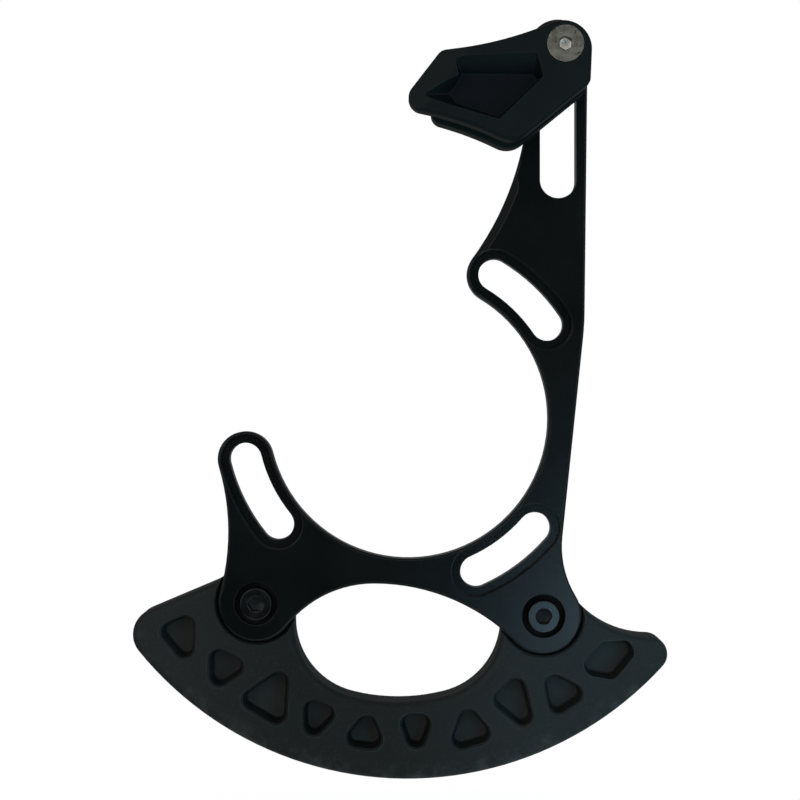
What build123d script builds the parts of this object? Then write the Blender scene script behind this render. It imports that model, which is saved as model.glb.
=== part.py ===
from build123d import *
import os
from collections import namedtuple
from math import asin, atan2, cos, hypot, pi, radians, sin, sqrt, tan

# Bicycle chain guide for a single front chainring.
# A flat aluminium backplate bolts to the three frame tabs round the bottom bracket. Its tall arm carries
# the upper guide, which slides in the arm's slot, and its two lugs carry a moulded guard below the ring.
# Millimetres. +X points to the front of the bicycle, +Z up, and the drive side faces -Y. The origin is the
# bottom bracket axis on the face that lies against the tabs. "Out" is the distance from that face towards
# the drive side.

# Frame tabs
tab_spacing = 56.0            # between the bolts of neighbouring tabs
tab_step = 100.0              # angle between neighbouring tabs, seen from the axis
middle_tab = -53.5            # direction of the middle tab, in degrees from +X

# Slots for the frame bolts, each with a sunk land for the bolt head
slot_width = 7.0
slot_sweep = 25.0             # angle between the end centres of one slot
land_margin = 2.0             # land beyond the slot's edge
land_depth = 1.5

# Backplate
plate_thickness = 5.0
edge_break = 0.4
rim_wall = 2.5                # between a slot and the cut-out
web = 5.4                     # below the cut-out, at the top of the arch
arch_x = -7.4                 # top of the arch between the lugs
flank_wall = 4.6              # between the upper slot and the plate's front edge
flank_height = 23.8           # where the front edge bends
flank_radius = 59.5
left_hollow_radius = 49.5
right_hollow_radius = 20.8
right_hollow_angle = 31.3     # where the hollow leaves the right lug

# Lugs that carry the guard
lug_reach = 15.55             # from the circle of the frame bolts to the circle of the lugs
right_lug_angle = -55.6
left_lug_angle = -129.4
lug_radius = 8.25
lug_floor = 2.0               # under the counterbore
counterbore_radius = 4.7

# Arm and guide slot
guide_slot_width = 7.9
guide_slot_low = 51.85        # height of the slot's lower end centre
guide_travel = 23.9
arm_wall = 2.5                # round the top of the guide slot
arm_lean = 0.65               # top of the arm, forward of the flank
arm_hollow_radius = 65.0
bevel_width = 1.7             # along the arm's hollow edge
bevel_top = 49.5              # height where the bevel runs out
bevel_tool_radius = 3.0

# M4 fasteners
thread_radius = 2.0
hole_radius = 2.2
thread_gap = 0.05
cap_radius = 3.5
cap_height = 4.0
cap_socket = 3.0              # across flats
cap_socket_depth = 2.2
screw_length = 8.0
nut_flats = 7.0
nut_height = 3.2
nut_gap = 0.1                 # between a nut and the walls of its pocket
collar_radius = 3.0           # locking collar of the guide nut
collar_height = 1.8
flat_head_radius = 3.9
flat_socket = 2.5
flat_socket_depth = 1.6
bolt_tail = 1.0               # bolt past the guide nut
washer_radius = 6.0
washer_height = 1.0

# Guard
guard_reach = 23.65           # from the circle of the lugs to the guard's outer edge
guard_x = -0.2                # centre of the outer edge
guard_z = -3.2
guard_depth = 10.0
lug_proud = 1.5               # lug face in front of the guard face
guard_round = 1.6
guard_back_round = 1.0
left_tip_angle = -50.9        # tips, in degrees from straight down
right_tip_angle = 47.6
left_tip_radius = 5.8
right_tip_radius = 3.9
left_ear_radius = 9.3
right_ear_radius = 7.9
ear_hollow_radius = 5.0
ear_hollow_angle = 141.0      # where the hollow leaves the left ear
guard_hollow_radius = 20.8
tab_clearance = 8.5           # guard kept off the frame bolts
seat_gap = 0.6                # between a lug and its seat in the guard
seat_bevel = 0.5
ear_corner = 1.5
lens_x = -2.2                 # opening between the plate's arch and the guard
lens_drop = 8.75              # its widest level, below the top of the arch
lens_half = 6.1
lens_side_radius = 16.65
lens_bottom_radius = 41.9

# Cored pockets of the guard
pocket_depth = 5.4
pocket_draft = 5.0
pocket_corner = 2.2
pocket_rim = 0.45             # bevel round the mouth
pocket_floor_round = 0.8
# Corners of each pocket: degrees from straight down, and distance in from the outer edge
pockets = [
    [(-52.3, 6.0), (-50.1, 15.3), (-41.5, 5.2)],
    [(-43.5, 12.6), (-33.7, 14.6), (-37.0, 4.1)],
    [(-33.0, 6.1), (-27.2, 19.4), (-22.3, 5.4)],
    [(-21.6, 14.0), (-13.3, 13.4), (-18.0, 3.0)],
    [(-12.7, 5.8), (-7.8, 15.4), (-3.6, 6.2)],
    [(-2.1, 14.2), (5.5, 14.0), (1.6, 2.3)],
    [(6.8, 5.0), (12.2, 16.0), (16.5, 6.2)],
    [(17.0, 14.6), (25.8, 18.4), (23.1, 2.1)],
    [(26.7, 5.5), (29.8, 17.0), (35.4, 6.2)],
    [(36.8, 12.5), (43.0, 13.5), (47.0, 9.5), (46.0, 6.3), (39.9, 5.4), (36.9, 9.4)],
]

# Upper guide
channel_width = 8.0
inner_thickness = 5.0
outer_thickness = 5.0
bridge_wall = 2.6
bridge_end = -21.7            # rear end of the bridge, from the bolt
brow_hollow_radius = 75.0
brow_hollow_angle = 113.0     # where the hollow leaves the boss
belly_hollow_radius = 70.0    # along the lower edge
guide_round = 1.0
facet_width = 4.5             # sloping facet along the rear edge
facet_drop = 1.4
dish_depth = 3.0
key_gap = 0.12                # between the key and the sides of the guide slot
key_end_gap = 0.3
key_extra = 4.0               # length of the key beyond its width
key_setback = 0.5             # from the key's end to the plate's back face

Disc = namedtuple("Disc", "x z radius turn")
# Rounded corners of the guide's outline, from the bolt axis: x, z, radius, turn
guide_boss = Disc(-0.4, -1.0, 5.95, 1)
brow = Disc(-24.1, -4.05, 3.1, 1)
nose = Disc(-29.6, -11.0, 3.0, 1)
heel = Disc(-11.3, -15.0, 5.0, 1)
shoulder = Disc(3.3, -7.0, 2.0, 1)
inner_brow = Disc(-26.2, -4.25, 1.5, 1)
inner_nose = Disc(-25.2, -12.4, 2.5, 1)
# Dish in the outer half: matching corners at its mouth and on its floor, from the bolt axis
dish_mouth = [
    (-23.1, -2.6), (-5.9, -1.8), (-4.6, -6.9), (-13.8, -15.8),
    (-24.3, -12.7), (-30.7, -10.6), (-22.2, -6.5),
]
dish_floor = [
    (-21.4, -5.9), (-6.8, -6.1), (-5.5, -7.1), (-13.9, -14.8),
    (-22.8, -11.9), (-24.0, -10.1), (-22.1, -7.3),
]

# Derived sizes
tab_radius = tab_spacing / 2 / sin(radians(tab_step / 2))
upper_tab = middle_tab + tab_step
left_tab = middle_tab - tab_step
boss_radius = slot_width / 2 + rim_wall
cutout_radius = tab_radius - boss_radius
lug_circle = tab_radius + lug_reach
arch_z = -(cutout_radius + web)
arm_end_radius = guide_slot_width / 2 + arm_wall
flank_x = tab_radius * cos(radians(upper_tab - slot_sweep / 2)) + slot_width / 2 + flank_wall
guide_x = flank_x + arm_lean - arm_end_radius
guide_z = guide_slot_low + key_extra / 2 + key_end_gap + guide_travel
guide_slot_high = guide_z + key_extra / 2 + key_end_gap
key_width = guide_slot_width - 2 * key_gap
guard_front = plate_thickness - lug_proud
guard_back = guard_front - guard_depth
guard_radius = lug_circle + guard_reach
lens_z = arch_z - lens_drop
nut_seat = guard_back + nut_height + nut_gap
channel_low = plate_thickness + inner_thickness
channel_high = channel_low + channel_width
guide_front = channel_high + outer_thickness
flat_head_height = flat_head_radius - thread_radius
guide_nut_back = -(washer_height + nut_height + collar_height)


def polar(angle, radius, turn_radius, turn=1):
    """Disc whose centre lies at an angle and a distance from the bottom bracket axis."""
    return Disc(radius * cos(radians(angle)), radius * sin(radians(angle)), turn_radius, turn)


def hollow(here, there, radius):
    """Hollow that touches two discs from outside, on the right of the way from one to the other."""
    reach_here = radius + here.radius
    reach_there = radius + there.radius
    dx, dz = there.x - here.x, there.z - here.z
    span = hypot(dx, dz)
    along = (reach_here ** 2 - reach_there ** 2 + span ** 2) / (2 * span)
    across = sqrt(reach_here ** 2 - along ** 2)
    x = here.x + (along * dx + across * dz) / span
    z = here.z + (along * dz - across * dx) / span
    return Disc(x, z, radius, -1)


def hollow_at(disc, angle, radius):
    """Hollow that touches one disc from outside at an angle on its rim."""
    reach = disc.radius + radius
    return Disc(disc.x + reach * cos(radians(angle)), disc.z + reach * sin(radians(angle)), radius, -1)


def rim_point(disc, heading):
    """Point of a disc's rim where a belt that follows its turn runs in the given heading."""
    reach = disc.turn * disc.radius
    return disc.x + reach * sin(heading), disc.z - reach * cos(heading)


def belt(discs):
    """Face inside a belt round discs in order: anticlockwise where turn is 1, clockwise where it is -1."""
    headings, straights = [], []
    for here, there in zip(discs, discs[1:] + discs[:1]):
        dx, dz = there.x - here.x, there.z - here.z
        shift = there.turn * there.radius - here.turn * here.radius
        straight = sqrt(max(dx ** 2 + dz ** 2 - shift ** 2, 0))
        headings.append(atan2(dz, dx) - atan2(shift, straight))
        straights.append(straight)
    edges = []
    start = rim_point(discs[0], headings[-1])
    for i, disc in enumerate(discs):
        sweep = disc.turn * (headings[i] - headings[i - 1]) % (2 * pi)
        middle = rim_point(disc, headings[i - 1] + disc.turn * sweep / 2)
        end = rim_point(disc, headings[i])
        if i == len(discs) - 1 and straights[i] < 0.001:
            end = rim_point(discs[0], headings[-1])
        edges.append(ThreePointArc(start, middle, end))
        start = end
        if straights[i] > 0.001:
            start = rim_point(discs[(i + 1) % len(discs)], headings[i])
            edges.append(Line(end, start))
    return make_face(edges)


def slab(face, low, high):
    """Solid of a face drawn in X and Z, from one distance out to another."""
    return extrude(Plane.XZ.offset(low) * face, high - low)


def frustum(x, z, low, high, low_radius, high_radius):
    """Cone about an axis through x and z, from one distance out to another."""
    cone = Cone(low_radius, high_radius, high - low, align=(Align.CENTER, Align.CENTER, Align.MIN))
    return Plane.XZ.offset(low) * Pos(x, z) * cone


def hexagon(flats):
    return RegularPolygon(flats / 2, 6, major_radius=False)


right_lug = polar(right_lug_angle, lug_circle, lug_radius)
left_lug = polar(left_lug_angle, lug_circle, lug_radius)
arm_end = Disc(guide_x, guide_slot_high, arm_end_radius, 1)
upper_boss = polar(upper_tab + slot_sweep / 2, tab_radius, boss_radius)
left_boss = polar(left_tab - slot_sweep / 2, tab_radius, boss_radius)
arm_hollow = hollow(arm_end, upper_boss, arm_hollow_radius)


def arch(lug):
    """Hollow that is level at the top of the arch and runs into a lug."""
    dx, dz = lug.x - arch_x, lug.z - arch_z
    radius = (dx ** 2 + dz ** 2 - lug.radius ** 2) / (2 * (lug.radius - dz))
    return Disc(arch_x, arch_z - radius, radius, -1)


def plate_outline():
    return belt([
        arm_end,
        arm_hollow,
        upper_boss,
        Disc(0, 0, cutout_radius, -1),
        left_boss,
        hollow(left_boss, left_lug, left_hollow_radius),
        left_lug,
        arch(left_lug),
        arch(right_lug),
        right_lug,
        hollow_at(right_lug, right_hollow_angle, right_hollow_radius),
        Disc(flank_x - flank_radius, flank_height, flank_radius, 1),
    ])


def arm_bevel():
    """Cutter for the bevel on the arm's hollow edge: a conical pass with round run-outs at both ends."""
    depth = plate_thickness - bevel_width
    runout = bevel_tool_radius / arm_hollow.radius
    low = atan2(upper_boss.z - arm_hollow.z, upper_boss.x - arm_hollow.x) + runout
    high = asin((bevel_top - arm_hollow.z) / arm_hollow.radius)
    far = 2 * arm_hollow.radius
    centre = (arm_hollow.x, arm_hollow.z)
    rays = [(centre[0] + far * cos(angle), centre[1] + far * sin(angle)) for angle in (low, high)]
    wedge = slab(make_face(Polyline(centre, *rays, close=True)), depth, plate_thickness)
    wide = arm_hollow.radius + bevel_width
    cutter = wedge & frustum(*centre, depth, plate_thickness, arm_hollow.radius, wide)
    path = arm_hollow.radius - bevel_tool_radius
    for angle in (low, high):
        x, z = centre[0] + path * cos(angle), centre[1] + path * sin(angle)
        cutter += frustum(x, z, depth, plate_thickness, bevel_tool_radius, bevel_tool_radius + bevel_width)
    return cutter


def make_backplate():
    plate = slab(plate_outline(), 0, plate_thickness)
    plate = chamfer(plate.faces().filter_by(Axis.Y).edges(), edge_break)
    plate -= arm_bevel()
    for tab in (upper_tab, left_tab, middle_tab):
        path = CenterArc((0, 0), tab_radius, tab - slot_sweep / 2, slot_sweep)
        plate -= slab(SlotArc(path, slot_width), 0, plate_thickness)
        land = SlotArc(path, slot_width + 2 * land_margin)
        plate -= slab(land, plate_thickness - land_depth, plate_thickness)
    slot_middle = Pos(guide_x, (guide_slot_low + guide_slot_high) / 2)
    guide_slot = SlotCenterToCenter(guide_slot_high - guide_slot_low, guide_slot_width, rotation=90)
    plate -= slab(slot_middle * guide_slot, 0, plate_thickness)
    for lug in (right_lug, left_lug):
        place = Pos(lug.x, lug.z)
        plate -= slab(place * Circle(hole_radius), 0, plate_thickness)
        plate -= slab(place * Circle(counterbore_radius), lug_floor, plate_thickness)
    return plate


def guard_tip(angle, radius):
    reach = guard_radius - radius
    return Disc(guard_x + reach * sin(radians(angle)), guard_z - reach * cos(radians(angle)), radius, 1)


def guard_outline():
    left_tip = guard_tip(left_tip_angle, left_tip_radius)
    right_tip = guard_tip(right_tip_angle, right_tip_radius)
    left_ear = left_lug._replace(radius=left_ear_radius)
    right_ear = right_lug._replace(radius=right_ear_radius)
    outline = belt([
        left_tip,
        Disc(guard_x, guard_z, guard_radius, 1),
        right_tip,
        hollow(right_tip, right_ear, guard_hollow_radius),
        right_ear,
        left_ear,
        hollow_at(left_ear, ear_hollow_angle, ear_hollow_radius),
    ])
    rise = sqrt((lens_bottom_radius - lens_side_radius) ** 2 - lens_half ** 2)
    lens = belt([
        Disc(lens_x - lens_half, lens_z, lens_side_radius, 1),
        Disc(lens_x, lens_z + rise, lens_bottom_radius, 1),
        Disc(lens_x + lens_half, lens_z, lens_side_radius, 1),
    ])
    lens_width = 2 * (lens_half + lens_side_radius)
    lens += Pos(lens_x, lens_z) * Rectangle(lens_width, -lens_z, align=(Align.CENTER, Align.MIN))
    keepout = tab_radius + tab_clearance
    outline -= lens + Circle(keepout)
    corners = outline.vertices().filter_by(lambda corner: abs(hypot(corner.X, corner.Y) - keepout) < 0.001)
    return fillet(corners, ear_corner)


def pocket_face(corners):
    points = []
    for angle, inset in corners:
        reach = guard_radius - inset
        points.append((guard_x + reach * sin(radians(angle)), guard_z - reach * cos(radians(angle))))
    face = make_face(Polyline(*points, close=True))
    return fillet(face.vertices(), pocket_corner)


def pocket_cutter(corners):
    floor = offset(pocket_face(corners), -pocket_depth * tan(radians(pocket_draft)))
    return extrude(Plane.XZ.offset(guard_front - pocket_depth) * floor, pocket_depth, taper=-pocket_draft)


def lug_seat():
    """Cutter for the seat of the two lugs, with a bevelled rim."""
    seat = slab(offset(plate_outline(), seat_gap), 0, plate_thickness)
    rim = slab(offset(plate_outline(), seat_gap + seat_bevel), guard_front - seat_bevel, plate_thickness)
    return seat + chamfer(rim.faces().sort_by(Axis.Y)[-1].edges(), seat_bevel)


def make_bash_guard():
    guard = slab(guard_outline(), guard_back, guard_front)
    ends = guard.faces().filter_by(Axis.Y).sort_by(Axis.Y)
    guard = fillet(ends[0].edges(), guard_round)
    ends = guard.faces().filter_by(Axis.Y).sort_by(Axis.Y)
    guard = fillet(ends[-1].edges(), guard_back_round)
    for lug in (right_lug, left_lug):
        place = Pos(lug.x, lug.z)
        guard -= slab(place * Circle(hole_radius), guard_back, guard_front)
        guard -= slab(place * hexagon(nut_flats + 2 * nut_gap), guard_back, nut_seat)
    for corners in pockets:
        guard -= pocket_cutter(corners)
    front = guard.faces().filter_by(Axis.Y).sort_by(Axis.Y)[0]
    guard = chamfer(front.inner_wires().edges(), pocket_rim)
    floor_y = pocket_depth - guard_front
    levels = guard.faces().filter_by(Axis.Y)
    floors = levels.filter_by_position(Axis.Y, floor_y - pocket_rim, floor_y + pocket_rim)
    guard = fillet(floors.edges(), pocket_floor_round)
    return guard - lug_seat()


def make_guard_screws():
    screws = Part()
    for lug in (right_lug, left_lug):
        place = Pos(lug.x, lug.z)
        screw = slab(place * Circle(thread_radius), lug_floor - screw_length, lug_floor)
        top = lug_floor + cap_height
        cap = slab(place * Circle(cap_radius), lug_floor, top)
        screw += chamfer(cap.edges().sort_by(Axis.Y)[0], edge_break)
        screw -= slab(place * hexagon(cap_socket), top - cap_socket_depth, top)
        screws += screw
    return screws


def make_guard_nuts():
    nuts = Part()
    for lug in (right_lug, left_lug):
        face = Pos(lug.x, lug.z) * (hexagon(nut_flats) - Circle(thread_radius + thread_gap))
        nuts += slab(face, nut_seat - nut_height, nut_seat)
    return nuts


def guide_outline(*rear_corners):
    """Outline of a guide half, with hollow upper and lower edges."""
    brow_hollow = hollow_at(guide_boss, brow_hollow_angle, brow_hollow_radius)
    belly_hollow = hollow(rear_corners[-1], heel, belly_hollow_radius)
    return belt([guide_boss, brow_hollow, brow, *rear_corners, belly_hollow, heel, shoulder])


def facet_cutter():
    """Cutter for the sloping facet between the nose and the brow."""
    along = Vector(brow.x - nose.x, 0, brow.z - nose.z)
    inward = Vector(along.Z, 0, -along.X)
    ridge = facet_width - nose.radius
    far = 2 * facet_width
    drop = (ridge + far) * facet_drop / facet_width
    profile = make_face(Polyline((ridge, 0), (-far, drop), (-far, 0), close=True))
    across = Plane(origin=(nose.x, -guide_front, nose.z), x_dir=inward, z_dir=along)
    return extrude(across * profile, -bridge_end, both=True)


def make_upper_guide_outer():
    face = guide_outline(nose)
    body = slab(face, channel_high, guide_front)
    body = fillet(body.faces().sort_by(Axis.Y)[0].edges(), guide_round)
    body -= facet_cutter()
    floor = make_face(Polyline(*dish_floor, close=True))
    mouth = make_face(Polyline(*dish_mouth, close=True))
    floor_plane = Plane.XZ.offset(guide_front - dish_depth)
    body -= loft([floor_plane * floor, Plane.XZ.offset(guide_front) * mouth], ruled=True)
    strip = face - Pos(0, -bridge_wall) * face
    strip &= Rectangle(-bridge_end, 4 * guide_boss.radius, align=(Align.MAX, Align.CENTER))
    boss = Pos(guide_boss.x, guide_boss.z) * Circle(guide_boss.radius)
    body += slab(strip + boss, channel_low, channel_high)
    body -= slab(Circle(hole_radius), channel_low, guide_front)
    head_gap = hole_radius - thread_radius
    mouth_radius = flat_head_radius + head_gap
    body -= frustum(0, 0, guide_front - flat_head_height, guide_front, hole_radius, mouth_radius)
    return Pos(guide_x, 0, guide_z) * body


def make_upper_guide_inner():
    body = slab(guide_outline(inner_brow, inner_nose), plate_thickness, channel_low)
    key = SlotCenterToCenter(key_extra, key_width, rotation=90)
    body += slab(key, key_setback, plate_thickness)
    body -= slab(Circle(hole_radius), key_setback, channel_low)
    return Pos(guide_x, 0, guide_z) * body


def make_guide_bolt():
    neck = guide_front - flat_head_height
    bolt = slab(Circle(thread_radius), guide_nut_back - bolt_tail, neck)
    bolt += frustum(0, 0, neck, guide_front, thread_radius, flat_head_radius)
    bolt -= slab(hexagon(flat_socket), guide_front - flat_socket_depth, guide_front)
    return Pos(guide_x, 0, guide_z) * bolt


def make_guide_washer():
    return Pos(guide_x, 0, guide_z) * slab(Circle(washer_radius) - Circle(hole_radius), -washer_height, 0)


def make_guide_nut():
    nut = slab(hexagon(nut_flats), -washer_height - nut_height, -washer_height)
    nut += slab(Circle(collar_radius), guide_nut_back, -washer_height)
    nut -= slab(Circle(thread_radius + thread_gap), guide_nut_back, -washer_height)
    return Pos(guide_x, 0, guide_z) * nut


nodes = {
    "backplate": make_backplate,
    "bash_guard": make_bash_guard,
    "guard_screws": make_guard_screws,
    "guard_nuts": make_guard_nuts,
    "upper_guide_outer": make_upper_guide_outer,
    "upper_guide_inner": make_upper_guide_inner,
    "guide_bolt": make_guide_bolt,
    "guide_washer": make_guide_washer,
    "guide_nut": make_guide_nut,
}
os.makedirs("parts", exist_ok=True)
for name, make in nodes.items():
    export_step(make(), f"parts/{name}.step")
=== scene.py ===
# %% [markdown]
# # Bicycle chain guide
# This lesson dresses a CAD model of a chain guide: an aluminium backplate, a moulded guard below the
# chainring, an upper guide that slides in the plate's arm, and the small steel fasteners that hold them.
# The CAD model is loaded as a fixed frame. Its shapes stay as they are, and Blender adds the finishes,
# the details that are too fine for CAD, the light and the camera.

# %% Load the CAD model
from math import atan, cos, degrees, pi, radians, sin

import bmesh
import bpy
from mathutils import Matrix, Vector


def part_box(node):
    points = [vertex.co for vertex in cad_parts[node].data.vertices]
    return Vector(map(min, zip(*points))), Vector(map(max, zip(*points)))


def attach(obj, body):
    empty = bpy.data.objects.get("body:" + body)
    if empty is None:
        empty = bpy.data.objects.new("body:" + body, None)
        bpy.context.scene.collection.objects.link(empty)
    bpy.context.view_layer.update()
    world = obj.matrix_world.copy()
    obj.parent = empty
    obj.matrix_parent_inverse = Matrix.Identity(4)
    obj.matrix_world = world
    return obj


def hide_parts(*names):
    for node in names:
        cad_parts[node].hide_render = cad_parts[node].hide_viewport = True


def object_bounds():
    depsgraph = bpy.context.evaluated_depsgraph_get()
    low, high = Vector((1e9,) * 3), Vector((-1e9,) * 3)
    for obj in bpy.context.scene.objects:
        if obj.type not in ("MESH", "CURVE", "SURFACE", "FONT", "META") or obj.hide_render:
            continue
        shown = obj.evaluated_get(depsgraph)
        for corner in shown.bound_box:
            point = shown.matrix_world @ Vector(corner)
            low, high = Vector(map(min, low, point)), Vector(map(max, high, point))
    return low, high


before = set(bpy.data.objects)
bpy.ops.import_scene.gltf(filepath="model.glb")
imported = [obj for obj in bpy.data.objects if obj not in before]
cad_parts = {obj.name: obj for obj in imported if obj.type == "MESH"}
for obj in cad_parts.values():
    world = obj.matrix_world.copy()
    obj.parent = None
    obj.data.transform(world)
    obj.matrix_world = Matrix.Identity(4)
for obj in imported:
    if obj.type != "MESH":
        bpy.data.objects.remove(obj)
cad_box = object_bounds()
MM = 0.001
print("CAD box in mm:", [[round(x / MM, 2) for x in corner] for corner in cad_box])

# %% [markdown]
# ## Camera
# The photograph looks straight at the drive side, along +Y, from about 40 cm. A picture taken this near
# shows the walls that face the picture's middle, so the distance matters as much as the angle. The lens
# is chosen so that the image is as wide at the plate's front face as the photograph is.

# %% Camera
plate_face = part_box("backplate")[0].y
camera_reach = 392 * MM
camera_x, camera_z = -1.78 * MM, 4.0 * MM
view_width = 173.9 * MM
camera_data = bpy.data.cameras.new("camera")
camera_data.sensor_width = 36
camera_data.lens = camera_data.sensor_width * camera_reach / view_width
camera_data.clip_start = 0.02
camera = bpy.data.objects.new("camera", camera_data)
camera.location = (camera_x, plate_face - camera_reach, camera_z)
camera.rotation_euler = (radians(90), 0, 0)
bpy.context.scene.collection.objects.link(camera)
bpy.context.scene.camera = camera
bpy.context.scene.view_settings.view_transform = "Standard"
view_angle = degrees(2 * atan(view_width / 2 / camera_reach))
print("lens", round(camera_data.lens, 1), "mm, width seen", round(view_angle, 1), "degrees")

# %% [markdown]
# ## Colours and nodes
# Colours are written as sRGB hex values, as a paint chart gives them. Blender's shaders work in linear
# light, so one function turns a hex value into a linear colour. A second one adds a shader node, sets its
# properties and constant inputs, and links its other inputs: every material below is built with it.

# %% Colour and node helpers
def colour(hex_value):
    channels = [int(hex_value[i:i + 2], 16) / 255 for i in (1, 3, 5)]
    return [c / 12.92 if c <= 0.04045 else ((c + 0.055) / 1.055) ** 2.4 for c in channels] + [1]


def add(tree, kind, values={}, links={}, **properties):
    """Adds a node of one kind, with its properties, its constant inputs and its linked inputs."""
    node = tree.nodes.new(kind)
    for name, value in properties.items():
        setattr(node, name, value)
    for socket_shade, value in values.items():
        node.inputs[socket_shade].default_value = value
    for socket_shade, output in links.items():
        tree.links.new(output, node.inputs[socket_shade])
    return node


print("middle grey #777777 is", [round(c, 3) for c in colour("#777777")], "in linear light")

# %% [markdown]
# ## Studio
# In use the object hangs on its three frame bolts, so here it floats a little above a pale floor that
# takes a soft shadow. The world is white to the camera. To light it is a room: pale all round the camera,
# dim at the sides, and dark right at the camera, where the photographer stands. A flat face that looks at
# the camera mirrors that dark place, so the black plate stays black. Reflections see the backdrop behind
# the object too, much dimmed: in full white, the black walls of the cut-outs would shine as pale rims.

# %% World
world = bpy.data.worlds.new("studio")
world.use_nodes = True
bpy.context.scene.world = world
tree = world.node_tree
rays = add(tree, "ShaderNodeLightPath")
direction = add(tree, "ShaderNodeTexCoord")
axes = add(tree, "ShaderNodeSeparateXYZ", links={0: direction.outputs["Generated"]})
depth = add(tree, "ShaderNodeMapRange", {"From Min": -1.0}, {"Value": axes.outputs["Y"]})
room = add(tree, "ShaderNodeValToRGB", links={0: depth.outputs[0]})
room_greys = [(0.0, "#121314"), (0.02, "#121314"), (0.05, "#d0d2d4"), (0.10, "#d0d2d4"), (0.2, "#8c8e90"),
              (0.5, "#606264"), (0.7, "#8c8e90"), (0.85, "#8c8e90"), (0.95, "#242628")]
for position, _ in room_greys[:-2]:
    room.color_ramp.elements.new(position)
for stop, (position, grey) in zip(room.color_ramp.elements, room_greys):
    stop.position = position
    stop.color = colour(grey)
backdrop_start, backdrop_full, backdrop_level = 0.3, 0.8, 0.12
backdrop = add(tree, "ShaderNodeMapRange",
               {"From Min": backdrop_start, "From Max": backdrop_full, "To Max": backdrop_level},
               {"Value": axes.outputs["Y"]})
mirrored = add(tree, "ShaderNodeMath", {}, {0: rays.outputs["Is Glossy Ray"], 1: backdrop.outputs[0]},
               operation="MULTIPLY")
direct = add(tree, "ShaderNodeMath", {},
             {0: rays.outputs["Is Camera Ray"], 1: rays.outputs["Is Transmission Ray"]},
             operation="MAXIMUM")
white = add(tree, "ShaderNodeMath", {}, {0: direct.outputs[0], 1: mirrored.outputs[0]}, operation="MAXIMUM")
seen = add(tree, "ShaderNodeMixRGB", {2: colour("#ffffff")}, {0: white.outputs[0], 1: room.outputs[0]})
tree.links.new(seen.outputs[0], tree.nodes["Background"].inputs["Color"])
print("room, from the camera's side to the backdrop:", [grey for _, grey in room_greys])

# %% [markdown]
# The floor is a sheet of matt white paper. Near the object it shows the shadow, and further off it fades
# to the plain white of the backdrop, so that no horizon line crosses the picture. To reflections the
# paper ends there: a white floor that ran on towards the camera would turn the black plate grey.

# %% Floor
floor_drop = 35 * MM
floor_half = 0.22
floor_z = cad_box[0].z - floor_drop
floor_corners = [(x * floor_half, y * floor_half, floor_z) for x, y in ((-1, -1), (1, -1), (1, 1), (-1, 1))]
floor_mesh = bpy.data.meshes.new("floor")
floor_mesh.from_pydata(floor_corners, [], [(0, 1, 2, 3)])
floor = bpy.data.objects.new("floor", floor_mesh)
bpy.context.scene.collection.objects.link(floor)
print("floor", round(floor_drop / MM), "mm below the guard")

# %% Floor paper
fade_start, fade_end = 0.10, 0.21
paper_lift = 0.35
paper = bpy.data.materials.new("white_paper_matt")
paper.use_nodes = True
tree = paper.node_tree
rays = add(tree, "ShaderNodeLightPath")
place = add(tree, "ShaderNodeTexCoord")
far = add(tree, "ShaderNodeVectorMath", {}, {0: place.outputs["Object"]}, operation="LENGTH")
fade = add(tree, "ShaderNodeMapRange", {"From Min": fade_start, "From Max": fade_end},
           {"Value": far.outputs["Value"]},
           interpolation_type="SMOOTHSTEP")
lift = add(tree, "ShaderNodeMath", {1: paper_lift}, {0: rays.outputs["Is Camera Ray"]},
           operation="MULTIPLY")
sheet = add(tree, "ShaderNodeBsdfDiffuse", {"Color": colour("#f4f4f3")})
glow = add(tree, "ShaderNodeEmission", {"Color": colour("#ffffff")}, {"Strength": lift.outputs[0]})
lit = add(tree, "ShaderNodeAddShader", {}, {0: sheet.outputs[0], 1: glow.outputs[0]})
sweep = add(tree, "ShaderNodeEmission", {"Color": colour("#ffffff")},
            {"Strength": rays.outputs["Is Camera Ray"]})
both = add(tree, "ShaderNodeMixShader", {}, {0: fade.outputs[0], 1: lit.outputs[0], 2: sweep.outputs[0]})
tree.links.new(both.outputs[0], tree.nodes["Material Output"].inputs["Surface"])
floor_mesh.materials.append(paper)
print("paper fades from", fade_start, "to", fade_end, "m")

# %% [markdown]
# The photograph's light is soft and comes mostly from the front, a little warmer on the left and blue on
# the right. Area lamps give that: the larger the lamp, the softer its shadow and the wider its
# reflection. The front lamp and the blue wall light only matt surfaces. Their rays are kept out of
# reflections, as a photographer does with a polarising filter, because a lamp mirrored in the black plate
# would hide its shape. The back lamp, high behind the object, is for the views from there. The key lamp
# and a small blue card are left in the reflections: the card puts the cool sheen on the plate round the
# right lug.

# %% Lamps
def soft_lamp(name, place, aim, size, power, hex_value, mirrored=True):
    data = bpy.data.lights.new(name, "AREA")
    data.size = size
    data.energy = power
    data.color = colour(hex_value)[:3]
    lamp = bpy.data.objects.new(name, data)
    lamp.location = place
    lamp.rotation_euler = (Vector(aim) - Vector(place)).to_track_quat("-Z", "Y").to_euler()
    lamp.visible_glossy = mirrored
    bpy.context.scene.collection.objects.link(lamp)
    print(name, power, "W, mirrored" if mirrored else "W, matt surfaces only")


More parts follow.
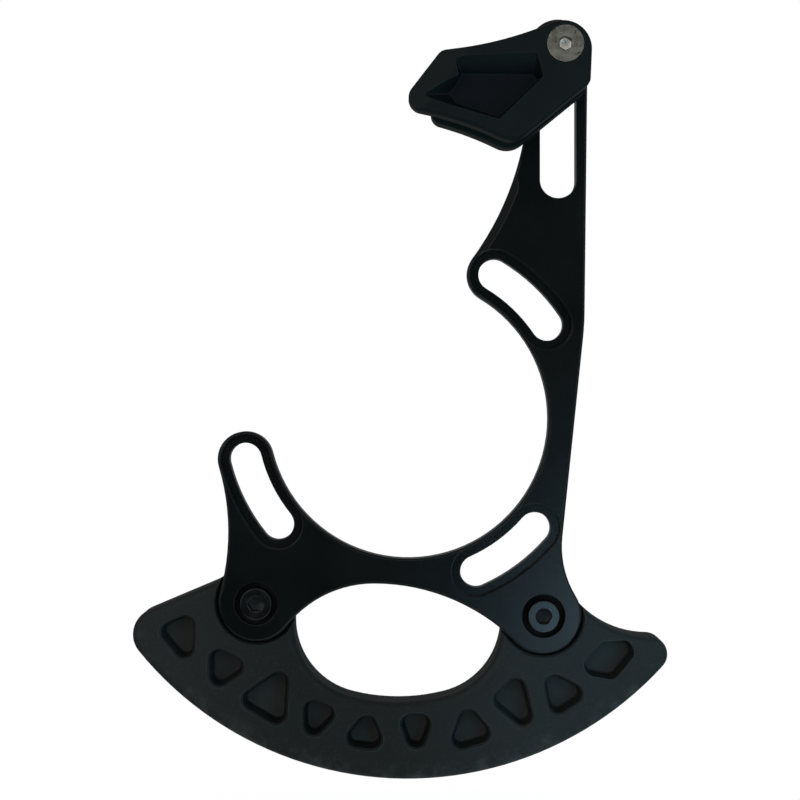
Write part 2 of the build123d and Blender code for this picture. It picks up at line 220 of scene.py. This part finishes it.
soft_lamp("front_lamp", (-0.20, -1.00, 0.05), (0, 0, 0), 0.3, 2.8, "#fff4e2", mirrored=False)
soft_lamp("blue_wall", (0.17, -0.17, -0.09), (0.05, 0, -0.05), 0.2, 0.85, "#86cde8", mirrored=False)
soft_lamp("blue_card", (0.21, -0.93, -0.20), (0.03, 0, -0.04), 0.16, 0.38, "#b0d8ee")
soft_lamp("key_lamp", (-0.60, -0.75, 0.30), (0, 0, 0), 0.6, 1.2, "#fff8ee")
soft_lamp("back_lamp", (0.12, 0.55, 0.85), (0, 0, 0), 0.6, 5.0, "#ffffff", mirrored=False)

# %% [markdown]
# ## Shared surface details
# Every finish starts with the same three things: the place on the object in metres, the soft edge that
# every real part has, and a mask of where edges are. The Bevel node rounds the shading at a sharp edge,
# and the angle between that rounded normal and the real one tells how near the edge is. The mask works
# with that angle's cosine: wear starts where it falls below 0.995, about 6 degrees, and is full at 0.8.

# %% A new finish with its edge mask
WEAR_STARTS, WEAR_FULL = 0.995, 0.8


def new_finish(name, edge_radius):
    """A material with its shader, the place in metres, the rounded normal and a mask of the edges."""
    material = bpy.data.materials.new(name)
    material.use_nodes = True
    tree = material.node_tree
    shader = tree.nodes["Principled BSDF"]
    place = add(tree, "ShaderNodeTexCoord").outputs["Object"]
    rounded = add(tree, "ShaderNodeBevel", {"Radius": edge_radius}, samples=4).outputs[0]
    flat = add(tree, "ShaderNodeNewGeometry").outputs["Normal"]
    facing = add(tree, "ShaderNodeVectorMath", {}, {0: rounded, 1: flat},
                 operation="DOT_PRODUCT").outputs["Value"]
    edges = add(tree, "ShaderNodeMapRange", {"From Min": WEAR_STARTS, "From Max": WEAR_FULL},
                {"Value": facing}).outputs[0]
    return material, tree, shader, place, rounded, edges


def dress(node, material):
    """Puts a finish on a CAD node's material slots."""
    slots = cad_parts[node].data.materials
    slots.clear()
    slots.append(material)
    print(material.name, "on", node)


# %% [markdown]
# ## Distance from the guard's screws
# Two finishes change round the guard's two screws: painted shade darkens the plate's counterbores and the
# inside of the screws' sockets, and the key that turns the screws rubs the sockets' rims. Both need the
# distance from the nearer screw's axis, so it is worked out by one function. The axes come from the box of
# the CAD node: the right screw is the lower.

# %% Screw axes and the distance from them
cap_radius = 3.5
low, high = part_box("guard_screws")
cap_reach = cap_radius * MM
screw_axes = [(high.x - cap_reach, low.z + cap_reach), (low.x + cap_reach, high.z - cap_reach)]


def screw_distance(tree, place):
    """The distance from the nearer screw's axis, in metres."""
    across = add(tree, "ShaderNodeVectorMath", {1: (1, 0, 1)}, {0: place}, operation="MULTIPLY").outputs[0]
    reaches = [add(tree, "ShaderNodeVectorMath", {1: (x, 0, z)}, {0: across}, operation="DISTANCE")
               for x, z in screw_axes]
    right, left = [reach.outputs["Value"] for reach in reaches]
    return add(tree, "ShaderNodeMath", {}, {0: right, 1: left}, operation="MINIMUM").outputs[0]


print("screw axes in mm:", [(round(x / MM, 2), round(z / MM, 2)) for x, z in screw_axes])

# %% [markdown]
# ## Black anodised aluminium
# The backplate is milled from sheet, bead-blasted and anodised black. Blasting leaves a fine even grain,
# and the dyed and sealed oxide on it is a thin glassy layer: deep black seen straight on, with a satin
# sheen towards the light. A Principled shader without metallic gives that, with the sealer's IOR of 1.5.
# The grain of about 0.1 mm is too fine for one pixel, so it is drawn at 0.3 mm. The counterbores round
# the screws are painted darker, and dull: painted shade in the recesses.

# %% Anodised aluminium
anodised, tree, shader, place, rounded, edges = new_finish("anodised_aluminium_blasted", 0.25 * MM)
clouds = add(tree, "ShaderNodeTexNoise", {"Scale": 1 / (16 * MM), "Detail": 3.0},
             {"Vector": place}).outputs[0]
grain = add(tree, "ShaderNodeTexNoise", {"Scale": 1 / (0.3 * MM), "Detail": 2.0},
            {"Vector": place}).outputs[0]
dye = add(tree, "ShaderNodeMixRGB", {1: colour("#060807"), 2: colour("#0a0c0c")}, {0: clouds})
rubbed = add(tree, "ShaderNodeMath", {}, {0: edges, 1: clouds}, operation="MULTIPLY").outputs[0]
tint = add(tree, "ShaderNodeMixRGB", {2: colour("#2c3033")}, {0: rubbed, 1: dye.outputs[0]})
sheen = add(tree, "ShaderNodeMapRange", {"From Min": 0.3, "From Max": 0.7, "To Min": 0.19, "To Max": 0.24},
            {"Value": clouds})
relief = add(tree, "ShaderNodeBump", {"Strength": 0.25, "Distance": 0.02 * MM},
             {"Height": grain, "Normal": rounded})
counterbore = 4.7
# Painted shade: the counterbores round the two screws are darkened and dulled.
counterbore_shade = add(tree, "ShaderNodeMapRange",
             {"From Min": (counterbore + 0.1) * MM, "From Max": (counterbore - 0.05) * MM},
             {"Value": screw_distance(tree, place)}).outputs[0]
counterbore_shaded = add(tree, "ShaderNodeMixRGB", {2: colour("#050606")}, {0: counterbore_shade, 1: tint.outputs[0]})
dulled = add(tree, "ShaderNodeMapRange", {"To Max": 0.7}, {"Value": counterbore_shade, "To Min": sheen.outputs[0]})
tree.links.new(counterbore_shaded.outputs[0], shader.inputs["Base Color"])
tree.links.new(dulled.outputs[0], shader.inputs["Roughness"])
tree.links.new(relief.outputs[0], shader.inputs["Normal"])
shader.inputs["IOR"].default_value = 1.5
dress("backplate", anodised)

# %% [markdown]
# ## Glass-filled nylon, spark-eroded mould
# The guard is injection moulded in a tool with a spark-eroded texture, so its faces are an even charcoal
# grey with no clear reflection. Short glass fibres in the plastic scatter light at the rounded edges,
# which look paler. Stones and steps knock the outer edge, so pale scuffs are drawn there: a patchy noise,
# shown only at more than 71.5 mm from the centre of the guard's arc. The guard's middle is painted darker:
# painted shade. The pockets' floors, which are found by their depth and by facing the front, are painted
# paler: painted light. The texture's pits of about 0.15 mm are drawn at 0.4 mm.

# %% Guard nylon
guard_nylon, tree, shader, place, rounded, edges = new_finish("glass_filled_nylon_textured", 0.3 * MM)
clouds = add(tree, "ShaderNodeTexNoise", {"Scale": 1 / (9 * MM), "Detail": 4.0},
             {"Vector": place}).outputs[0]
pits = add(tree, "ShaderNodeTexNoise", {"Scale": 1 / (0.4 * MM), "Detail": 3.0},
           {"Vector": place}).outputs[0]
plastic = add(tree, "ShaderNodeMixRGB", {1: colour("#181a1a"), 2: colour("#202222")}, {0: clouds})
# Painted shade: the guard is darkened round its middle, a little left of centre.
middle_shade_shift, middle_shade_core, middle_shade_reach = 14 * MM, 8 * MM, 42 * MM
sideways = add(tree, "ShaderNodeSeparateXYZ", links={0: place}).outputs["X"]
aside = add(tree, "ShaderNodeMath", {1: middle_shade_shift}, {0: sideways}, operation="ADD").outputs[0]
width = add(tree, "ShaderNodeMath", {}, {0: aside}, operation="ABSOLUTE").outputs[0]
middle_shade = add(tree, "ShaderNodeMapRange", {"From Min": middle_shade_reach, "From Max": middle_shade_core, "To Max": 0.75},
          {"Value": width},
          interpolation_type="SMOOTHSTEP").outputs[0]
shaded_resin = add(tree, "ShaderNodeMixRGB", {2: colour("#0d100f")}, {0: middle_shade, 1: plastic.outputs[0]})
speckle = add(tree, "ShaderNodeMapRange", {"From Min": 0.58, "From Max": 0.75, "To Max": 0.35},
              {"Value": pits}).outputs[0]
fibres = add(tree, "ShaderNodeMixRGB", {2: colour("#343a3c")}, {0: speckle, 1: shaded_resin.outputs[0]})
worn = add(tree, "ShaderNodeMapRange", {"From Min": 0.4, "From Max": 0.65, "To Min": 0.25},
           {"Value": clouds}).outputs[0]
rubbed = add(tree, "ShaderNodeMath", {}, {0: edges, 1: worn}, operation="MULTIPLY").outputs[0]
arc_shift = (0.2 * MM, 0, 3.2 * MM)
scuff_start, scuff_full = 71.5 * MM, 75.5 * MM
rim = add(tree, "ShaderNodeVectorMath", {1: (1, 0, 1), 2: arc_shift}, {0: place}, operation="MULTIPLY_ADD")
reach = add(tree, "ShaderNodeVectorMath", {}, {0: rim.outputs[0]}, operation="LENGTH").outputs["Value"]
outer = add(tree, "ShaderNodeMapRange", {"From Min": scuff_start, "From Max": scuff_full},
            {"Value": reach}).outputs[0]
knocks = add(tree, "ShaderNodeTexNoise", {"Scale": 1 / (5 * MM), "Detail": 6.0, "Roughness": 0.7},
             {"Vector": place}).outputs[0]
patches = add(tree, "ShaderNodeMapRange", {"From Min": 0.5, "From Max": 0.68, "To Max": 0.35},
              {"Value": knocks}).outputs[0]
scuffs = add(tree, "ShaderNodeMath", {}, {0: outer, 1: patches}, operation="MULTIPLY").outputs[0]
marks = add(tree, "ShaderNodeMath", {}, {0: rubbed, 1: scuffs}, operation="MAXIMUM").outputs[0]
scuffed = add(tree, "ShaderNodeMixRGB", {2: colour("#4a4e4e")}, {0: marks, 1: fibres.outputs[0]})
guard_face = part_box("bash_guard")[0].y
# Painted light: the pockets' floors, deep and facing the front, are painted paler.
pocket_light_start, pocket_light_full = guard_face + 4.4 * MM, guard_face + 5.2 * MM
along = add(tree, "ShaderNodeSeparateXYZ", links={0: place}).outputs["Y"]
deep = add(tree, "ShaderNodeMapRange", {"From Min": pocket_light_start, "From Max": pocket_light_full}, {"Value": along})
normal = add(tree, "ShaderNodeNewGeometry").outputs["Normal"]
turned = add(tree, "ShaderNodeSeparateXYZ", links={0: normal}).outputs["Y"]
frontal = add(tree, "ShaderNodeMapRange", {"From Min": -0.8, "From Max": -0.95, "To Max": 0.3},
              {"Value": turned})
pocket_floor_light = add(tree, "ShaderNodeMath", {}, {0: deep.outputs[0], 1: frontal.outputs[0]},
           operation="MULTIPLY").outputs[0]
tint = add(tree, "ShaderNodeMixRGB", {2: colour("#363a3b")}, {0: pocket_floor_light, 1: scuffed.outputs[0]})
dull = add(tree, "ShaderNodeMapRange", {"From Min": 0.3, "From Max": 0.7, "To Min": 0.55, "To Max": 0.68},
           {"Value": clouds})
relief = add(tree, "ShaderNodeBump", {"Strength": 0.35, "Distance": 0.04 * MM},
             {"Height": pits, "Normal": rounded})
tree.links.new(tint.outputs[0], shader.inputs["Base Color"])
tree.links.new(dull.outputs[0], shader.inputs["Roughness"])
tree.links.new(relief.outputs[0], shader.inputs["Normal"])
shader.inputs["IOR"].default_value = 1.53
shader.inputs["Specular IOR Level"].default_value = 0.25
dress("bash_guard", guard_nylon)

# %% [markdown]
# ## Black nylon, fine mould
# The two halves of the upper guide come from a smoother tool, in plain black nylon: a shade darker than
# the guard, with a soft gloss on its facets and faint flow marks. The dish of the outer half is painted
# darker: painted shade in the hollow. The dish is found by its depth behind the front face and by facing
# the front.

# %% Guide nylon
guide_nylon, tree, shader, place, rounded, edges = new_finish("black_nylon_moulded", 0.3 * MM)
flow = add(tree, "ShaderNodeTexNoise", {"Scale": 1 / (7 * MM), "Detail": 3.0, "Distortion": 0.8},
           {"Vector": place}).outputs[0]
pits = add(tree, "ShaderNodeTexNoise", {"Scale": 1 / (0.35 * MM), "Detail": 2.0},
           {"Vector": place}).outputs[0]
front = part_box("upper_guide_outer")[0].y
face_end, dish_start, half_end = front + 1.2 * MM, front + 2.6 * MM, front + 6.0 * MM
along = add(tree, "ShaderNodeSeparateXYZ", links={0: place}).outputs["Y"]
sunk = add(tree, "ShaderNodeMapRange", {"From Min": face_end, "From Max": dish_start},
           {"Value": along}).outputs[0]
outer = add(tree, "ShaderNodeMath", {1: half_end}, {0: along}, operation="LESS_THAN").outputs[0]
normal = add(tree, "ShaderNodeNewGeometry").outputs["Normal"]
turned = add(tree, "ShaderNodeSeparateXYZ", links={0: normal}).outputs["Y"]
frontal = add(tree, "ShaderNodeMapRange", {"From Min": -0.2, "From Max": -0.4},
              {"Value": turned}).outputs[0]
# Painted shade: the dish of the outer half is darkened.
hollow = add(tree, "ShaderNodeMath", {}, {0: sunk, 1: outer}, operation="MULTIPLY").outputs[0]
dish_shade = add(tree, "ShaderNodeMath", {}, {0: hollow, 1: frontal}, operation="MULTIPLY").outputs[0]
skin = add(tree, "ShaderNodeMixRGB", {1: colour("#080e0f"), 2: colour("#0d1515")}, {0: flow})
shaded_resin = add(tree, "ShaderNodeMixRGB", {2: colour("#02070c")}, {0: dish_shade, 1: skin.outputs[0]})
rubbed = add(tree, "ShaderNodeMath", {1: 0.5}, {0: edges}, operation="MULTIPLY").outputs[0]
tint = add(tree, "ShaderNodeMixRGB", {2: colour("#33383b")}, {0: rubbed, 1: shaded_resin.outputs[0]})
gloss = add(tree, "ShaderNodeMapRange", {"From Min": 0.3, "From Max": 0.7, "To Min": 0.44, "To Max": 0.54},
            {"Value": flow})
relief = add(tree, "ShaderNodeBump", {"Strength": 0.2, "Distance": 0.03 * MM},
             {"Height": pits, "Normal": rounded})
tree.links.new(tint.outputs[0], shader.inputs["Base Color"])
tree.links.new(gloss.outputs[0], shader.inputs["Roughness"])
tree.links.new(relief.outputs[0], shader.inputs["Normal"])
shader.inputs["IOR"].default_value = 1.53
shader.inputs["Specular IOR Level"].default_value = 0.14
dress("upper_guide_outer", guide_nylon)
dress("upper_guide_inner", guide_nylon)

# %% [markdown]
# ## Black-oxide steel
# The two cap screws are steel, blackened in a hot salt bath. The oxide is thin, so the metal still shines
# through it as a dark grey gloss, and it rubs off at the socket's rim, where the key turns. Inside the
# socket the steel is painted darker and duller: painted shade in the recess.

# %% Blackened steel
black_steel, tree, shader, place, rounded, edges = new_finish("black_oxide_steel", 0.15 * MM)
stains = add(tree, "ShaderNodeTexNoise", {"Scale": 1 / (2 * MM), "Detail": 4.0},
             {"Vector": place}).outputs[0]
oxide = add(tree, "ShaderNodeMixRGB", {1: colour("#46484a"), 2: colour("#56585a")}, {0: stains})
reach = screw_distance(tree, place)
keyed_end, keyed_full = 2.6 * MM, 2.2 * MM
socket_end, socket_full = 1.85 * MM, 1.75 * MM
keyed = add(tree, "ShaderNodeMapRange", {"From Min": keyed_end, "From Max": keyed_full},
            {"Value": reach}).outputs[0]
bared = add(tree, "ShaderNodeMath", {}, {0: edges, 1: keyed}, operation="MULTIPLY").outputs[0]
worn = add(tree, "ShaderNodeMixRGB", {2: colour("#77736c")}, {0: bared, 1: oxide.outputs[0]})
# Painted shade: inside the socket the steel is darker and duller.
socket_shade = add(tree, "ShaderNodeMapRange", {"From Min": socket_end, "From Max": socket_full},
             {"Value": reach}).outputs[0]
tint = add(tree, "ShaderNodeMixRGB", {2: colour("#383e40")}, {0: socket_shade, 1: worn.outputs[0]})
shine = add(tree, "ShaderNodeMapRange", {"From Min": 0.3, "From Max": 0.7, "To Min": 0.2, "To Max": 0.27},
            {"Value": stains})
gloss = add(tree, "ShaderNodeMapRange", {"To Max": 0.5}, {"Value": socket_shade, "To Min": shine.outputs[0]})
relief = add(tree, "ShaderNodeBump", {"Strength": 0.15, "Distance": 0.02 * MM},
             {"Height": stains, "Normal": rounded})
tree.links.new(tint.outputs[0], shader.inputs["Base Color"])
tree.links.new(gloss.outputs[0], shader.inputs["Roughness"])
tree.links.new(relief.outputs[0], shader.inputs["Normal"])
shader.inputs["Metallic"].default_value = 1.0
print(black_steel.name, "for the cap screws")

# %% [markdown]
# ## Stainless steel, turned
# The guide bolt, its washer and the nuts are plain stainless steel. Turning leaves rings round the axis,
# about 0.2 mm apart. Here a wave that follows the distance from the bolt draws them, at 0.4 mm so that
# they show. Stains and a few dark pits show the steel's age. The walls of the bolt's socket are painted
# darker: painted shade in the socket. Behind the plate's front face the steel is painted paler: painted
# light in place of light from behind.

# %% Stainless steel
bolt_low, bolt_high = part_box("guide_bolt")
bolt_axis = (bolt_low + bolt_high) / 2
stainless, tree, shader, place, rounded, edges = new_finish("stainless_steel_turned", 0.12 * MM)
centred = add(tree, "ShaderNodeMapping", {"Location": (-bolt_axis.x, 0, -bolt_axis.z)},
              {"Vector": place}).outputs[0]
ring_step = 0.4 * MM
waves_per_unit = 20 / (2 * pi)  # of this texture at a scale of 1
rings = add(tree, "ShaderNodeTexWave",
            {"Scale": 1 / (waves_per_unit * ring_step), "Distortion": 1.5, "Detail": 2.0},
            {"Vector": centred}, wave_type="RINGS", rings_direction="Y").outputs[1]
stains = add(tree, "ShaderNodeTexNoise", {"Scale": 1 / (1.5 * MM), "Detail": 4.0},
             {"Vector": place}).outputs[0]
mottle = add(tree, "ShaderNodeMapRange", {"From Min": 0.35, "From Max": 0.65}, {"Value": stains}).outputs[0]
steel = add(tree, "ShaderNodeMixRGB", {1: colour("#827f76"), 2: colour("#a3a095")}, {0: mottle})
bright = add(tree, "ShaderNodeMixRGB", {2: colour("#c9c5b9")}, {0: edges, 1: steel.outputs[0]})
pits = add(tree, "ShaderNodeTexNoise", {"Scale": 1 / (0.7 * MM), "Detail": 1.0},
           {"Vector": place}).outputs[0]
specks = add(tree, "ShaderNodeMapRange", {"From Min": 0.69, "From Max": 0.74, "To Max": 0.8},
             {"Value": pits}).outputs[0]
pitted = add(tree, "ShaderNodeMixRGB", {2: colour("#2c2a25")}, {0: specks, 1: bright.outputs[0]})
flat = add(tree, "ShaderNodeVectorMath", {1: (1, 0, 1)}, {0: centred}, operation="MULTIPLY").outputs[0]
reach = add(tree, "ShaderNodeVectorMath", {}, {0: flat}, operation="LENGTH").outputs["Value"]
# Painted shade: the walls of the bolt's socket are darkened.
inside_end, inside_full = 1.6 * MM, 1.5 * MM
inside = add(tree, "ShaderNodeMapRange", {"From Min": inside_end, "From Max": inside_full},
             {"Value": reach}).outputs[0]
along = add(tree, "ShaderNodeSeparateXYZ", links={0: place}).outputs["Y"]
walls_middle, walls_half = bolt_low.y + 1.1 * MM, 0.85 * MM
walls = add(tree, "ShaderNodeMath", {1: walls_middle, 2: walls_half}, {0: along},
            operation="COMPARE").outputs[0]
socket_shade = add(tree, "ShaderNodeMath", {}, {0: inside, 1: walls}, operation="MULTIPLY").outputs[0]
tint = add(tree, "ShaderNodeMixRGB", {2: colour("#2e2c26")}, {0: socket_shade, 1: pitted.outputs[0]})
# Painted light: the steel behind the plate's front face is painted paler, in place of light from behind.
back_light_start, back_light_full = plate_face + 1 * MM, plate_face + 3 * MM
painted_back_light = add(tree, "ShaderNodeMapRange",
                {"From Min": back_light_start, "From Max": back_light_full, "To Max": 0.7},
                {"Value": along}).outputs[0]
paled_behind = add(tree, "ShaderNodeMixRGB", {2: colour("#dcd9d0")}, {0: painted_back_light, 1: tint.outputs[0]})
gloss = add(tree, "ShaderNodeMapRange", {"From Min": 0.2, "From Max": 0.8, "To Min": 0.38, "To Max": 0.5},
            {"Value": stains})
relief = add(tree, "ShaderNodeBump", {"Strength": 0.12, "Distance": 0.02 * MM},
             {"Height": rings, "Normal": rounded})
tree.links.new(paled_behind.outputs[0], shader.inputs["Base Color"])
tree.links.new(gloss.outputs[0], shader.inputs["Roughness"])
tree.links.new(relief.outputs[0], shader.inputs["Normal"])
shader.inputs["Metallic"].default_value = 1.0
dress("guide_washer", stainless)

# %% [markdown]
# ## Stainless steel, painted highlight
# The floor of the bolt's socket, cut by the broach, is given a much paler steel than the rest of the
# bolt: a painted highlight, which makes it the brightest spot of the bolt. Fine chatter marks keep it
# from being a mirror: a noise of 0.4 mm in the roughness and the bump.

# %% Socket floor, painted highlight
# Painted highlight: the socket's floor is much paler steel than the rest of the bolt.
highlight_steel, tree, shader, place, rounded, edges = new_finish("stainless_steel_painted_highlight", 0.05 * MM)
lines = add(tree, "ShaderNodeTexNoise", {"Scale": 1 / (0.4 * MM), "Detail": 2.0},
            {"Vector": place}).outputs[0]
gloss = add(tree, "ShaderNodeMapRange", {"To Min": 0.3, "To Max": 0.5}, {"Value": lines})
relief = add(tree, "ShaderNodeBump", {"Strength": 0.1, "Distance": 0.02 * MM},
             {"Height": lines, "Normal": rounded})
shader.inputs["Base Color"].default_value = colour("#e9e5d9")
shader.inputs["Metallic"].default_value = 1.0
tree.links.new(gloss.outputs[0], shader.inputs["Roughness"])
tree.links.new(relief.outputs[0], shader.inputs["Normal"])
print(highlight_steel.name, "for the socket's floor")

# %% [markdown]
# ## Fasteners
# The CAD fasteners have the right sizes, but no threads, knurling or chamfers. Each is made again here as
# one skin of rings along its axis, as a lathe would turn it: a ring is a circle, a hexagon for a socket
# or a nut, or a knurled circle. The thread is a separate ridge that winds round the core. A chamfered nut
# needs no boolean cut: its hexagon's points drop along a cone the further out they lie, which draws the
# curved lines that real nuts have.

# %% Rings along an axis
STEPS = 96
SHARP_EDGE = radians(28)


def circle(radius, out):
    return [(radius, out)] * STEPS


def knurled(radius, out, depth):
    return [(radius - depth * (i % 2), out) for i in range(STEPS)]


def hexagon(flats, out, cone_radius=None, fall=0.0, turn=0.0):
    """Points of a hexagon. With a cone radius, what lies outside it drops by fall for each mm."""
    points = []
    for i in range(STEPS):
        radius = flats / 2 / cos((2 * pi * i / STEPS + radians(turn)) % (pi / 3) - pi / 6)
        drop = max(0, radius - cone_radius) * fall if cone_radius else 0
        points.append((radius, out + drop))
    return points


def place_point(axis, angle, radius, out):
    return axis[0] + radius * MM * cos(angle), -out * MM, axis[1] + radius * MM * sin(angle)


def add_skin(mesh, axis, rings, hubs=None):
    """Faces between rings. Hubs close both ends; without them the last ring meets the first."""
    loops = []
    for points in rings:
        places = [place_point(axis, 2 * pi * i / STEPS, *point) for i, point in enumerate(points)]
        loops.append([mesh.verts.new(place) for place in places])
    pairs = list(zip(loops, loops[1:])) if hubs else list(zip(loops, loops[1:] + loops[:1]))
    for here, there in pairs:
        for i in range(STEPS):
            mesh.faces.new((here[i - 1], here[i], there[i], there[i - 1]))
    for loop, out in zip((loops[0], loops[-1]), hubs or ()):
        hub = mesh.verts.new(place_point(axis, 0, 0, out))
        for i in range(STEPS):
            mesh.faces.new((loop[i - 1], loop[i], hub))


def add_thread(mesh, axis, start, end, core, crest, pitch, turn_steps=32):
    """A ridge that winds from start to end round a core, and runs out over half a turn at both ends."""
    flank, flat = 0.4 * pitch, 0.06 * pitch
    count = int((start - end) / pitch * turn_steps)
    rows = []
    for k in range(count + 1):
        angle = 2 * pi * k / turn_steps
        out = start - pitch * k / turn_steps
        rise = (crest - core) * min(1, 2 * k / turn_steps, 2 * (count - k) / turn_steps)
        top = core + rise
        profile = ((core, out + flank), (top, out + flat), (top, out - flat), (core, out - flank))
        rows.append([mesh.verts.new(place_point(axis, angle, *point)) for point in profile])
    for here, there in zip(rows, rows[1:]):
        for i in range(3):
            mesh.faces.new((here[i], here[i + 1], there[i + 1], there[i]))


def make_piece(name, mesh, material, body, slot, *nodes):
    """Turns a mesh into a piece that rides on a body and stands for the CAD nodes named."""
    bmesh.ops.recalc_face_normals(mesh, faces=mesh.faces)
    data = bpy.data.meshes.new(name)
    mesh.to_mesh(data)
    mesh.free()
    data.polygons.foreach_set("use_smooth", [True] * len(data.polygons))
    data.set_sharp_from_angle(angle=SHARP_EDGE)
    data.materials.append(material)
    piece = bpy.data.objects.new(name, data)
    bpy.context.scene.collection.objects.link(piece)
    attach(piece, body)
    if nodes:
        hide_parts(*nodes)
    print(name, len(data.polygons), "faces")
    return piece


print("rings of", STEPS, "points")

# %% [markdown]
# The cap screws are M4, with a 7 mm head, a 3 mm hexagon socket and a straight knurl for the fingers. A
# drilled cone closes the socket. Each line below is one ring: its size in mm, and how far out it lies.
# Two rings close together, such as the two at the face's edge, keep the face flat where the chamfer
# starts.

# %% Guard screws
thread_core, thread_crest, thread_pitch = 1.6, 1.98, 0.7
low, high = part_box("guard_screws")
cap_top, screw_tip = -low.y / MM, -high.y / MM
cap_height, cap_socket, knurl_depth = 4.0, 3.0, 0.08
cap_foot = cap_top - cap_height
mesh = bmesh.new()
for axis in screw_axes:
    add_skin(mesh, axis, [
        hexagon(cap_socket, cap_top - 2.2),
        hexagon(cap_socket, cap_top - 0.2),
        circle(1.82, cap_top),
        circle(3.2, cap_top),
        circle(3.28, cap_top),
        circle(3.4, cap_top - 0.1),
        circle(3.45, cap_top - 0.25),
        knurled(cap_radius, cap_top - 0.4, knurl_depth),
        knurled(cap_radius, cap_foot + 0.3, knurl_depth),
        circle(3.35, cap_foot),
        circle(thread_crest, cap_foot),
        circle(thread_crest, cap_foot - 0.8),
        circle(thread_core, cap_foot - 1.2),
        circle(thread_core, screw_tip + 0.35),
        circle(1.25, screw_tip),
    ], hubs=(cap_top - 2.7, screw_tip))
    add_thread(mesh, axis, cap_foot - 1.3, screw_tip + 0.35, thread_core, thread_crest, thread_pitch)
make_piece("cap_screws", mesh, black_steel, "plate_side", "black_steel", "guard_screws")

# %% [markdown]
# The two nuts at the guard's back are 7 mm across flats. Their corners are turned off at 30 degrees, a
# fall of 0.58 mm for each mm outwards, and their bores are opened at both ends for the screw.

# %% Guard nuts
nut_flats, nut_face, chamfer_fall = 7.0, 3.3, 0.58
nut_bore, bore_mouth = 2.05, 2.3
low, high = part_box("guard_nuts")
nut_front, nut_back = -low.y / MM, -high.y / MM
mesh = bmesh.new()
for axis in screw_axes:
    add_skin(mesh, axis, [
        circle(nut_bore, nut_front - 0.25),
        circle(bore_mouth, nut_front),
        circle(nut_face, nut_front),
        hexagon(nut_flats, nut_front, nut_face, -chamfer_fall),
        hexagon(nut_flats, nut_back, nut_face, chamfer_fall),
        circle(nut_face, nut_back),
        circle(bore_mouth, nut_back),
        circle(nut_bore, nut_back + 0.25),
    ])
make_piece("hex_nuts", mesh, stainless, "plate_side", "stainless_steel", "guard_nuts")

# %% [markdown]
# The guide bolt is a countersunk M4 with a 2.5 mm socket, turned so that a corner is on top. The
# triangles round the socket's hub are its floor, and they take the finish with the painted highlight.

# %% Guide bolt
guide_axis = (bolt_axis.x, bolt_axis.z)
head_top, bolt_tip = -bolt_low.y / MM, -bolt_high.y / MM
bolt_socket, shank_radius, shank_end = 2.5, 2.0, 3.0
mesh = bmesh.new()
add_skin(mesh, guide_axis, [
    hexagon(bolt_socket, head_top - 1.6, turn=30),
    hexagon(bolt_socket, head_top - 0.2, turn=30),
    circle(1.54, head_top),
    circle(3.7, head_top),
    circle(3.78, head_top),
    circle(3.88, head_top - 0.08),
    circle(3.86, head_top - 0.15),
    circle(shank_radius, head_top - 1.9),
    circle(shank_radius, shank_end),
    circle(thread_core, shank_end - 0.4),
    circle(thread_core, bolt_tip + 0.35),
    circle(1.25, bolt_tip),
], hubs=(head_top - 1.9, bolt_tip))
add_thread(mesh, guide_axis, shank_end - 0.6, bolt_tip + 0.35, thread_core, thread_crest, thread_pitch)
for face in mesh.faces:
    below_top = face.calc_center_median().y / MM + head_top
    if len(face.verts) == 3 and below_top < 2:
        face.material_index = 1
bolt = make_piece("countersunk_bolt", mesh, stainless, "upper_guide", "stainless_steel", "guide_bolt")
bolt.data.materials.append(highlight_steel)

# %% [markdown]
# The guide nut carries a collar that is rolled over a ring of nylon. The ring grips the thread, so that
# the nut stays put while the guide is slid up or down. It is a piece of its own, in the guide's black
# nylon.

# %% Guide nut and its nylon ring
low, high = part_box("guide_nut")
nut_front, collar_back = -low.y / MM, -high.y / MM
nut_height, collar_radius, ring_radius = 3.2, 3.0, 2.4
nut_back = nut_front - nut_height
mesh = bmesh.new()
add_skin(mesh, guide_axis, [
    circle(nut_bore, nut_front - 0.25),
    circle(bore_mouth, nut_front),
    circle(nut_face, nut_front),
    hexagon(nut_flats, nut_front, nut_face, -chamfer_fall),
    hexagon(nut_flats, nut_back, nut_face, chamfer_fall),
    circle(nut_face, nut_back),
    circle(3.05, nut_back - 0.08),
    circle(collar_radius, nut_back - 0.25),
    circle(collar_radius, collar_back + 0.75),
    circle(2.93, collar_back + 0.4),
    circle(2.75, collar_back + 0.12),
    circle(2.55, collar_back),
    circle(2.42, collar_back + 0.08),
    circle(ring_radius, collar_back + 0.3),
    circle(ring_radius, collar_back + 1.5),
    circle(nut_bore, collar_back + 1.5),
])
make_piece("collar_nut", mesh, stainless, "upper_guide", "stainless_steel", "guide_nut")
mesh = bmesh.new()
add_skin(mesh, guide_axis, [
    circle(ring_radius, collar_back + 0.4),
    circle(2.32, collar_back + 0.28),
    circle(2.15, collar_back + 0.26),
    circle(2.03, collar_back + 0.4),
    circle(2.03, collar_back + 1.4),
    circle(ring_radius, collar_back + 1.4),
])
make_piece("collar_ring", mesh, guide_nylon, "upper_guide", "guide_nylon")
